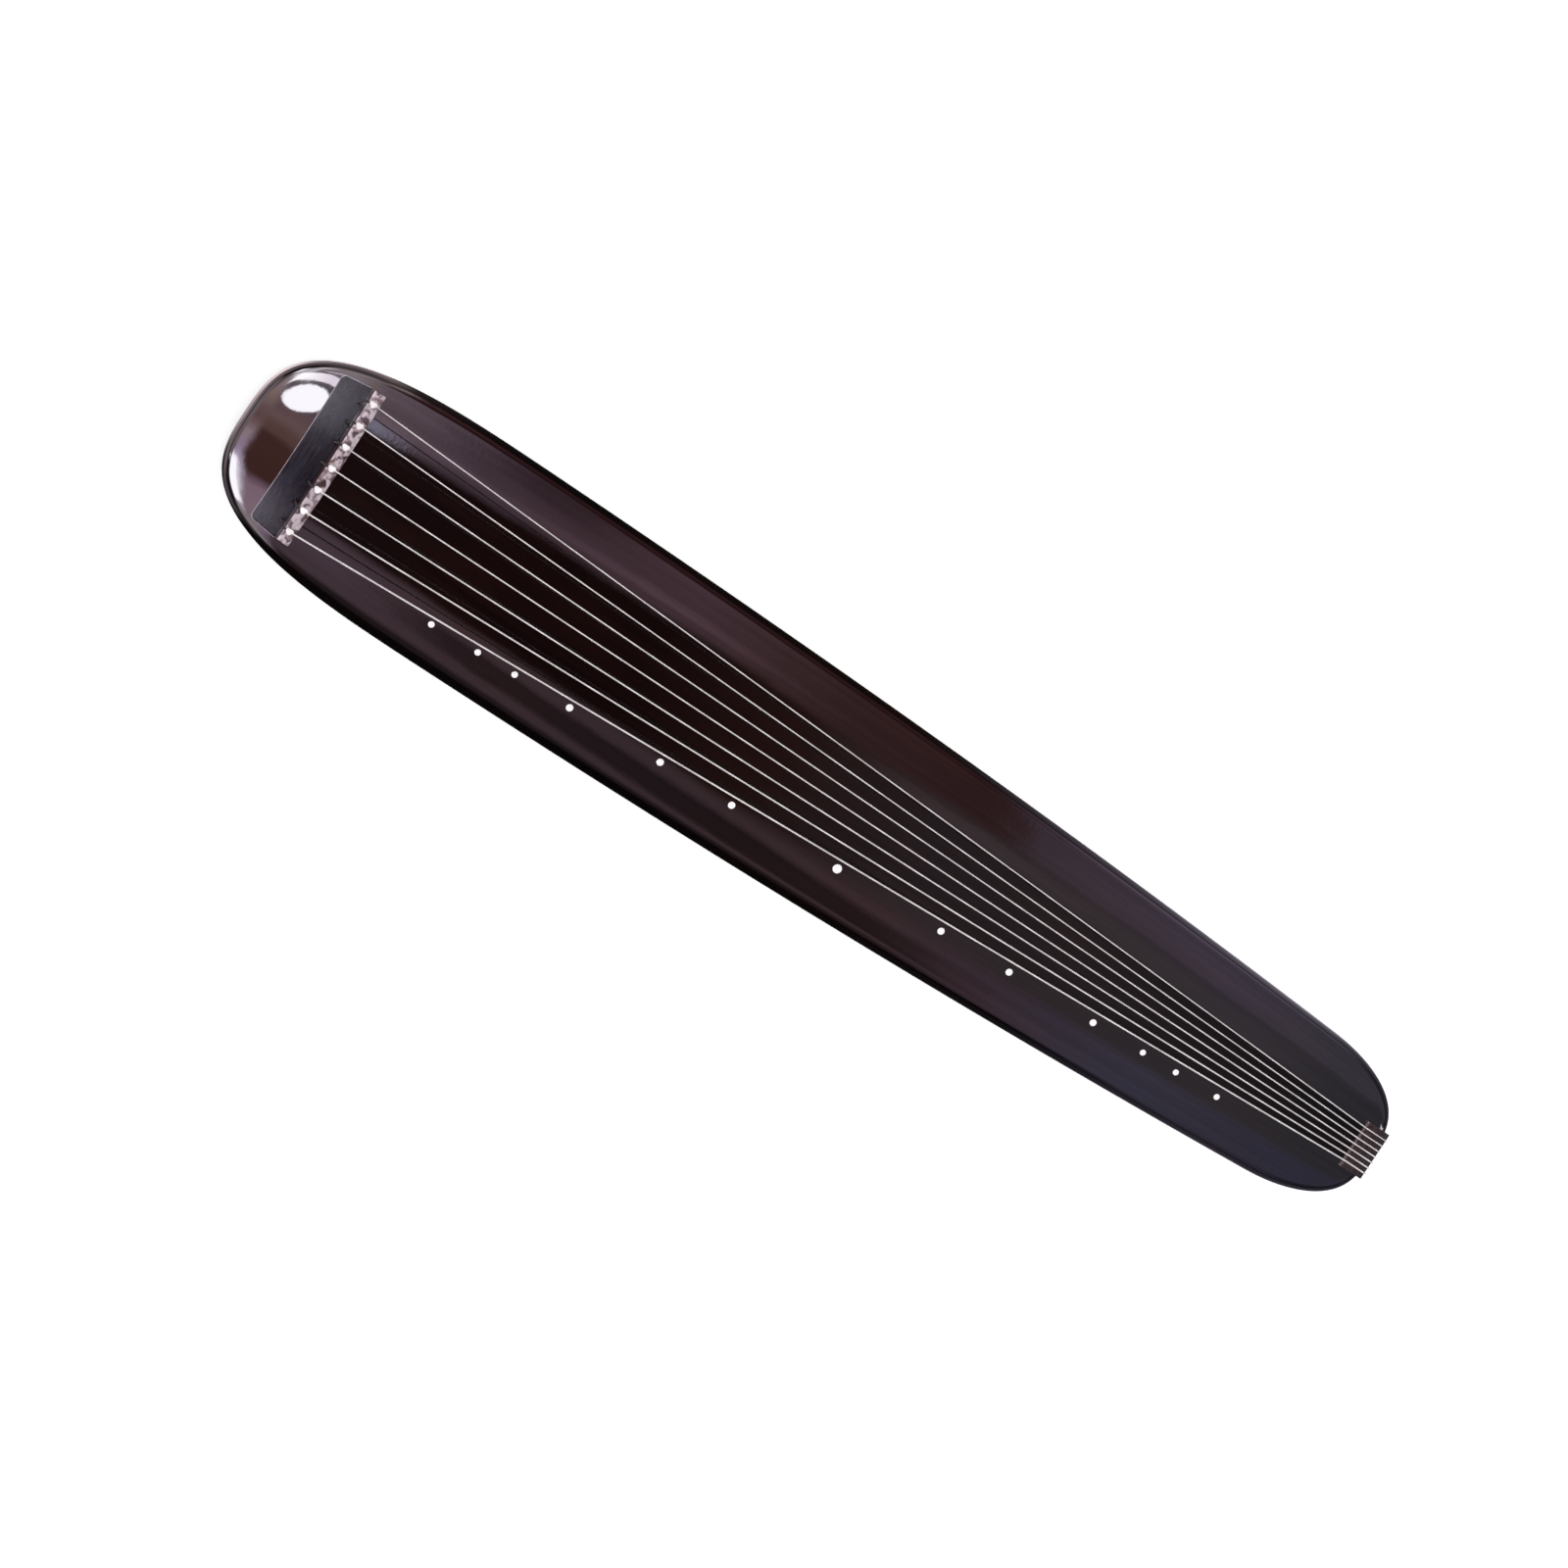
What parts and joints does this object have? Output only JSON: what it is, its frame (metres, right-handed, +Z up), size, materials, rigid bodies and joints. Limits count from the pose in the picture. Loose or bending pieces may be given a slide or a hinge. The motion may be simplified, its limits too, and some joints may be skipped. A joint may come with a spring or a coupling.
{
  "type": "guqin",
  "caption": "Long narrow lacquered zither with an arched soundboard, raised bridge, strings, inlaid position dots, turned feet and turning tuning pegs below the head.",
  "frame": {"origin": "centre of the bounding box, on the flat surface that the feet and peg guards stand on", "axes": "+X from the head to the tail, +Y towards the player's side (string 7), -Y towards string 1 and the inlay dots, +Z up"},
  "size_m": [1.2191, 0.2, 0.0989],
  "materials": {
    "lacquer": "deep gloss black-brown lacquer over wood",
    "rosewood": "polished rosewood",
    "apron_wood": "satin dark hardwood with fine streaks",
    "raw_wood": "unfinished spruce",
    "pearl": "mother-of-pearl, polished flush",
    "string_winding": "pale nylon-wound steel",
    "silk_cord": "twisted silk"
  },
  "bodies": {
    "root": {"soundboard": "lacquer", "bottom_board": "lacquer", "bridge": "rosewood", "bridge_apron": "apron_wood", "tail_nut": "rosewood", "lower_nut": "rosewood", "inlay_dot_1": "pearl", "inlay_dot_2": "pearl", "inlay_dot_3": "pearl", "inlay_dot_4": "pearl", "inlay_dot_5": "pearl", "inlay_dot_6": "pearl", "inlay_dot_7": "pearl", "inlay_dot_8": "pearl", "inlay_dot_9": "pearl", "inlay_dot_10": "pearl", "inlay_dot_11": "pearl", "inlay_dot_12": "pearl", "inlay_dot_13": "pearl", "heaven_post": "raw_wood", "earth_post": "raw_wood", "peg_plate": "rosewood", "peg_guard_inlay_side": "rosewood", "peg_guard_player_side": "rosewood", "foot_inlay_side": "rosewood", "foot_player_side": "rosewood", "string_1": "string_winding", "string_2": "string_winding", "string_3": "string_winding", "string_4": "string_winding", "string_5": "string_winding", "string_6": "string_winding", "string_7": "string_winding", "peg_cord_1": "silk_cord", "peg_cord_2": "silk_cord", "peg_cord_3": "silk_cord", "peg_cord_4": "silk_cord", "peg_cord_5": "silk_cord", "peg_cord_6": "silk_cord", "peg_cord_7": "silk_cord"},
    "peg_1": {"tuning_peg_1": "rosewood", "peg_winding_1": "silk_cord"},
    "peg_2": {"tuning_peg_2": "rosewood", "peg_winding_2": "silk_cord"},
    "peg_3": {"tuning_peg_3": "rosewood", "peg_winding_3": "silk_cord"},
    "peg_4": {"tuning_peg_4": "rosewood", "peg_winding_4": "silk_cord"},
    "peg_5": {"tuning_peg_5": "rosewood", "peg_winding_5": "silk_cord"},
    "peg_6": {"tuning_peg_6": "rosewood", "peg_winding_6": "silk_cord"},
    "peg_7": {"tuning_peg_7": "rosewood", "peg_winding_7": "silk_cord"}
  },
  "joints": [
    {"name": "peg_1_turn", "type": "hinge", "parent": "root", "child": "peg_1", "pos_m": [-0.53724, -0.0592, 0.0387], "axis": [0, 0, 1], "range_deg": [-900, 900]},
    {"name": "peg_2_turn", "type": "hinge", "parent": "root", "child": "peg_2", "pos_m": [-0.53724, -0.03947, 0.0387], "axis": [0, 0, 1], "range_deg": [-900, 900]},
    {"name": "peg_3_turn", "type": "hinge", "parent": "root", "child": "peg_3", "pos_m": [-0.53724, -0.01973, 0.0387], "axis": [0, 0, 1], "range_deg": [-900, 900]},
    {"name": "peg_4_turn", "type": "hinge", "parent": "root", "child": "peg_4", "pos_m": [-0.53724, 0, 0.0387], "axis": [0, 0, 1], "range_deg": [-900, 900]},
    {"name": "peg_5_turn", "type": "hinge", "parent": "root", "child": "peg_5", "pos_m": [-0.53724, 0.01973, 0.0387], "axis": [0, 0, 1], "range_deg": [-900, 900]},
    {"name": "peg_6_turn", "type": "hinge", "parent": "root", "child": "peg_6", "pos_m": [-0.53724, 0.03947, 0.0387], "axis": [0, 0, 1], "range_deg": [-900, 900]},
    {"name": "peg_7_turn", "type": "hinge", "parent": "root", "child": "peg_7", "pos_m": [-0.53724, 0.0592, 0.0387], "axis": [0, 0, 1], "range_deg": [-900, 900]}
  ]
}
